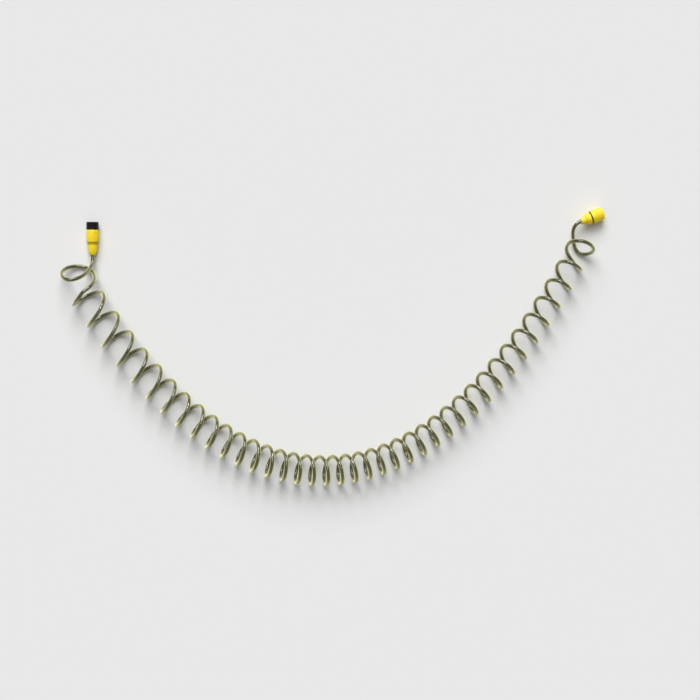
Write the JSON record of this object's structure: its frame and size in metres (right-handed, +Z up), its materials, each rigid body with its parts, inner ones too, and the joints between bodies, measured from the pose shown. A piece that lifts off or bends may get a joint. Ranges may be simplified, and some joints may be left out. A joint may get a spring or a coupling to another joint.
{
  "type": "coiled water hose",
  "caption": "Self-coiling garden hose laid in a U: a tap adaptor in a quick coupling at one end, a stop-valve coupling at the other.",
  "frame": {"origin": "on the floor, under the middle of the box around the adaptor and the two couplings", "axes": "+X from the tap end towards the free end, +Y the way the coil's U opens, +Z up from the floor"},
  "size_m": [1.3826, 0.707, 0.0854],
  "materials": {
    "hose": "glossy translucent olive PU with a paler, yellower edge where light comes through",
    "yellow": "satin moulded ABS",
    "gold": "dark golden moulded ABS, seen between the nut and the sleeve",
    "black": "moulded polypropylene, fine texture",
    "acetal": "off-white acetal",
    "seal": "black nitrile rubber",
    "steel": "drawn stainless spring wire"
  },
  "bodies": {
    "hose": {"hose_coil": "hose", "hose_tap_end": "hose", "hose_free_end": "hose", "tap_coupling_body": "gold", "tap_sleeve_spring": "steel", "free_coupling_body": "black", "free_sleeve_spring": "steel", "valve_seat": "black", "valve_spring": "steel"},
    "adaptor": {"tap_adaptor": "black", "adaptor_o_ring": "seal", "adaptor_washer": "seal"},
    "tap_sleeve": {"tap_release_sleeve": "yellow"},
    "tap_claw_1": {"tap_claw_1": "acetal"},
    "tap_claw_2": {"tap_claw_2": "acetal"},
    "tap_claw_3": {"tap_claw_3": "acetal"},
    "tap_collet": {"tap_collet": "acetal"},
    "tap_nut": {"tap_hose_nut": "yellow"},
    "free_sleeve": {"free_release_sleeve": "yellow"},
    "free_claw_1": {"free_claw_1": "acetal"},
    "free_claw_2": {"free_claw_2": "acetal"},
    "free_claw_3": {"free_claw_3": "acetal"},
    "free_collet": {"free_collet": "acetal"},
    "free_nut": {"free_hose_nut": "yellow"},
    "plunger": {"valve_plunger": "acetal", "valve_seal": "seal"}
  },
  "joints": [
    {"name": "adaptor_swivel", "type": "hinge", "parent": "hose", "child": "adaptor", "pos_m": [-0.6416, 0.003, 0.016], "axis": [0, 1, 0], "continuous": true},
    {"name": "tap_sleeve_slide", "type": "slide", "parent": "hose", "child": "tap_sleeve", "axis": [0, -1, 0], "range_m": [0, 0.005], "stiffness_N_per_m": 900, "springref_m": -0.004, "deforming": ["tap_sleeve_spring"]},
    {"name": "tap_claw_1_slide", "type": "slide", "parent": "hose", "child": "tap_claw_1", "axis": [0, 0, -1], "range_m": [0, 0.0009]},
    {"name": "tap_claw_2_slide", "type": "slide", "parent": "hose", "child": "tap_claw_2", "axis": [-0.866, 0, 0.5], "range_m": [0, 0.0009]},
    {"name": "tap_claw_3_slide", "type": "slide", "parent": "hose", "child": "tap_claw_3", "axis": [0.866, 0, 0.5], "range_m": [0, 0.0009]},
    {"name": "tap_collet_slide", "type": "slide", "parent": "hose", "child": "tap_collet", "axis": [0, -1, 0], "range_m": [0, 0.006]},
    {"name": "tap_nut_turn", "type": "hinge", "parent": "tap_collet", "child": "tap_nut", "pos_m": [-0.6416, -0.047, 0.016], "axis": [0, -1, 0], "range_deg": [0, 720]},
    {"name": "free_sleeve_slide", "type": "slide", "parent": "hose", "child": "free_sleeve", "axis": [-0.9195, -0.3438, 0.1908], "range_m": [0, 0.0026], "stiffness_N_per_m": 900, "springref_m": -0.004, "deforming": ["free_sleeve_spring"]},
    {"name": "free_claw_1_slide", "type": "slide", "parent": "hose", "child": "free_claw_1", "axis": [-0.1787, -0.0668, -0.9816], "range_m": [0, 0.0009]},
    {"name": "free_claw_2_slide", "type": "slide", "parent": "hose", "child": "free_claw_2", "axis": [-0.2139, 0.8446, 0.4908], "range_m": [0, 0.0009]},
    {"name": "free_claw_3_slide", "type": "slide", "parent": "hose", "child": "free_claw_3", "axis": [0.3927, -0.7778, 0.4908], "range_m": [0, 0.0009]},
    {"name": "free_collet_slide", "type": "slide", "parent": "hose", "child": "free_collet", "axis": [-0.9195, -0.3438, 0.1908], "range_m": [0, 0.006]},
    {"name": "free_nut_turn", "type": "hinge", "parent": "free_collet", "child": "free_nut", "pos_m": [0.60925, 0.02947, 0.02442], "axis": [-0.9195, -0.3438, 0.1908], "range_deg": [0, 720]},
    {"name": "valve_plunger_slide", "type": "slide", "parent": "hose", "child": "plunger", "axis": [-0.9195, -0.3438, 0.1908], "range_m": [0, 0.004], "stiffness_N_per_m": 300, "springref_m": -0.003, "deforming": ["valve_spring"]}
  ],
  "couplings": [
    {"joint": "tap_claw_1_slide", "follows": "tap_sleeve_slide", "ratio": 0.18},
    {"joint": "tap_claw_2_slide", "follows": "tap_sleeve_slide", "ratio": 0.18},
    {"joint": "tap_claw_3_slide", "follows": "tap_sleeve_slide", "ratio": 0.18},
    {"joint": "tap_collet_slide", "follows": "tap_nut_turn", "m_per_rad": 0.00047746},
    {"joint": "free_claw_1_slide", "follows": "free_sleeve_slide", "ratio": 0.34615},
    {"joint": "free_claw_2_slide", "follows": "free_sleeve_slide", "ratio": 0.34615},
    {"joint": "free_claw_3_slide", "follows": "free_sleeve_slide", "ratio": 0.34615},
    {"joint": "free_collet_slide", "follows": "free_nut_turn", "m_per_rad": 0.00047746}
  ]
}
